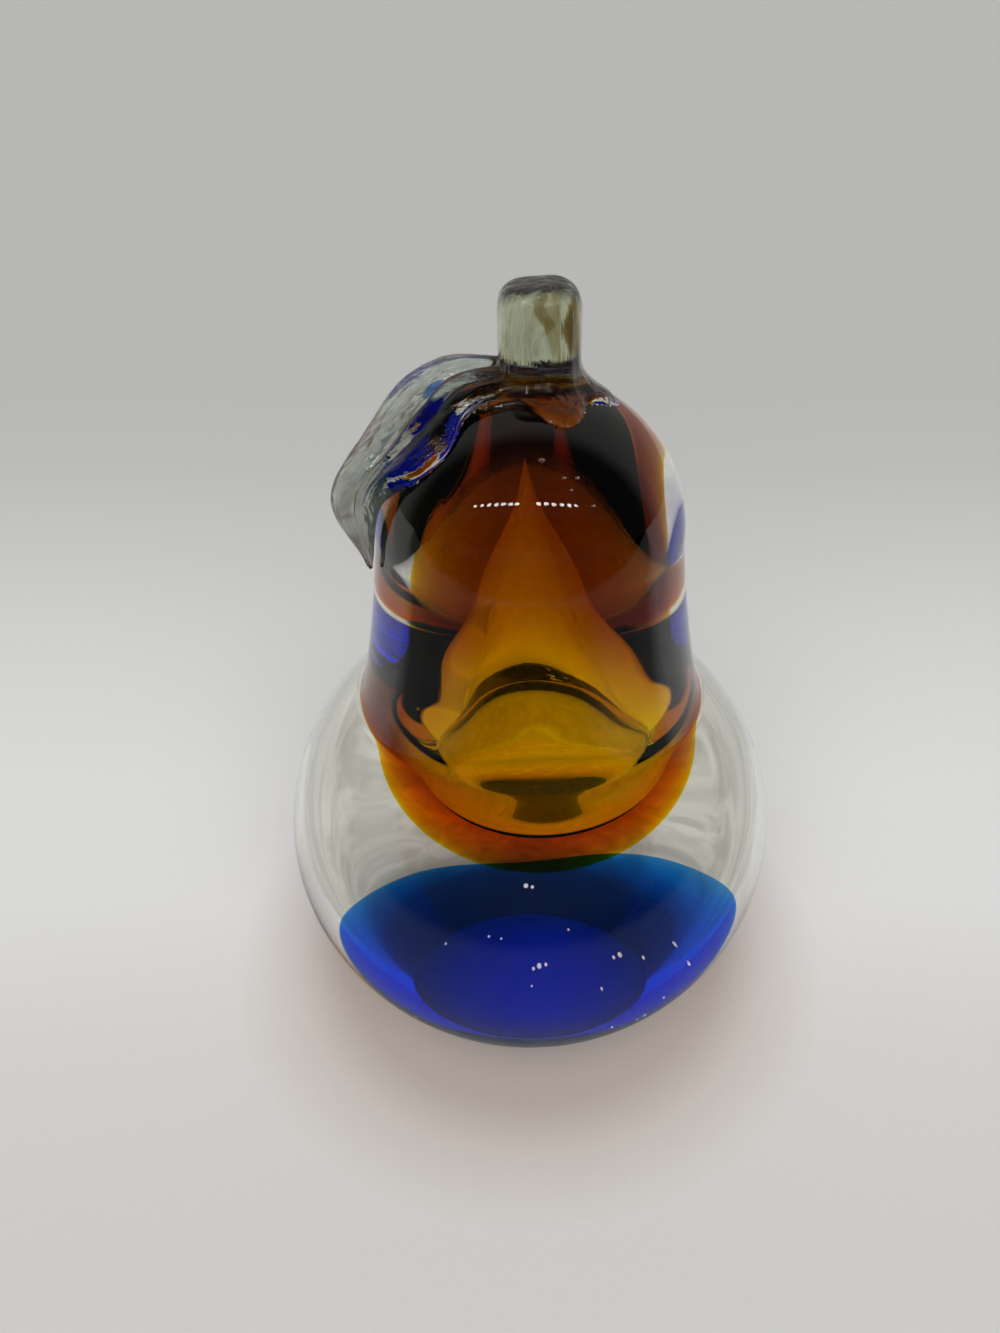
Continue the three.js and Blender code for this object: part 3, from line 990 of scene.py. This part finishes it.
def world():
    """Soft light from in front and above, in a room that is pale all round to look at.

    Mirrored in the glass the room is dark in front, where whoever looks at the pear would be.
    """
    made = bpy.data.worlds.new("studio")
    bpy.context.scene.world = made
    made.use_nodes = True
    s = Nodes(made.node_tree, "Generated")
    path = s.node("LightPath").outputs

    def background(colour):
        return s.node("Background", Color=colour).outputs[0]

    def before_floor(ray):
        """Rays of this kind that no dull surface has scattered yet."""
        node = s.worked_out("Math", "SUBTRACT", path[ray], path["Diffuse Depth"])
        node.use_clamp = True
        return node.outputs[0]

    facing = s.worked_out("VectorMath", "DOT_PRODUCT", s.place, LIGHT_FROM).outputs["Value"]
    dim, bright = (0.75, (0.25, 0.25, 0.248)), (0.98, (4.2, 4.2, 4.14))
    glow = s.between(facing, dim, bright, ease=True)
    front, back = (0.0, (0.04, 0.04, 0.039)), (0.3, (0.35, 0.35, 0.34))
    mirror = s.between(s.axis("Y"), front, back, ease=True)
    seen = s.instead(before_floor("Is Glossy Ray"), background(glow), background(mirror))
    seen = s.instead(before_floor("Is Transmission Ray"), seen, background(ROOM_THROUGH_GLASS))
    seen = s.instead(path["Is Camera Ray"], seen, background(BACKDROP))
    s.tree.links.new(seen, s.tree.nodes["World Output"].inputs["Surface"])


def light_row():
    """A row of small lights above the camera, seen only as beads reflected in the neck."""
    corners, faces = [], []
    for x in BEAD_LIGHTS_X:
        start = len(corners)
        z = BEAD_LIGHTS_Z + BEAD_LIGHTS_BOW * x * x
        for turn in round_angles(BEAD_LIGHT_SIDES):
            right, up = BEAD_LIGHT_RADIUS * math.cos(turn), BEAD_LIGHT_RADIUS * math.sin(turn)
            corners.append((x + right, BEAD_LIGHTS_Y, z + up))
        faces.append(tuple(range(start, start + BEAD_LIGHT_SIDES)))
    s = Shader("light_row")
    colour = s.between(s.noise(s.place, 40), (0.3, 0.9), (0.7, 1.0))
    glow = s.node("Emission", Strength=BEAD_LIGHT_STRENGTH, Color=colour)
    material = s.surface(glow.outputs[0]).material
    staged("light_row", corners, faces, material, mirrored_only=True)


def flag():
    """A black card that keeps the row of lights off the bulb, seen only in reflections."""
    left, right = -FLAG_HALF_WIDTH, FLAG_HALF_WIDTH
    edge = [(left, FLAG_LOW_Z), (right, FLAG_LOW_Z), (right, FLAG_HIGH_Z), (left, FLAG_HIGH_Z)]
    s = Shader("flag")
    felt = s.between(s.noise(s.place, 200), (0.3, 0.01), (0.7, 0.02))
    material = s.surface(s.node("BsdfDiffuse", Color=felt).outputs[0]).material
    corners = [(x, FLAG_Y, z) for x, z in edge]
    staged("flag", corners, [(0, 1, 2, 3)], material, mirrored_only=True)


def camera():
    """The photograph's view, down on the pear from close by."""
    pitch = math.radians(CAMERA_PITCH)
    back, up = CAMERA_DISTANCE * math.cos(pitch), CAMERA_DISTANCE * math.sin(pitch)
    data = bpy.data.cameras.new("camera")
    data.sensor_fit = "VERTICAL"
    data.sensor_height = SENSOR_HEIGHT
    data.lens = SENSOR_HEIGHT * FOCAL_LENGTH / IMAGE_HEIGHT
    data.shift_x = IMAGE_SHIFT / IMAGE_HEIGHT
    data.clip_start = 0.005
    piece = bpy.data.objects.new("camera", data)
    piece.location = (0, -back, CAMERA_AIM_Z + up)
    piece.rotation_euler = (math.pi / 2 - pitch, 0, 0)
    bpy.context.scene.collection.objects.link(piece)
    bpy.context.scene.camera = piece


floor()
world()
light_row()
flag()
camera()

scene = bpy.context.scene
scene.view_settings.view_transform = "Standard"
scene.cycles.max_bounces = 32
scene.cycles.transmission_bounces = 32
scene.cycles.glossy_bounces = 16
scene.cycles.transparent_max_bounces = 64
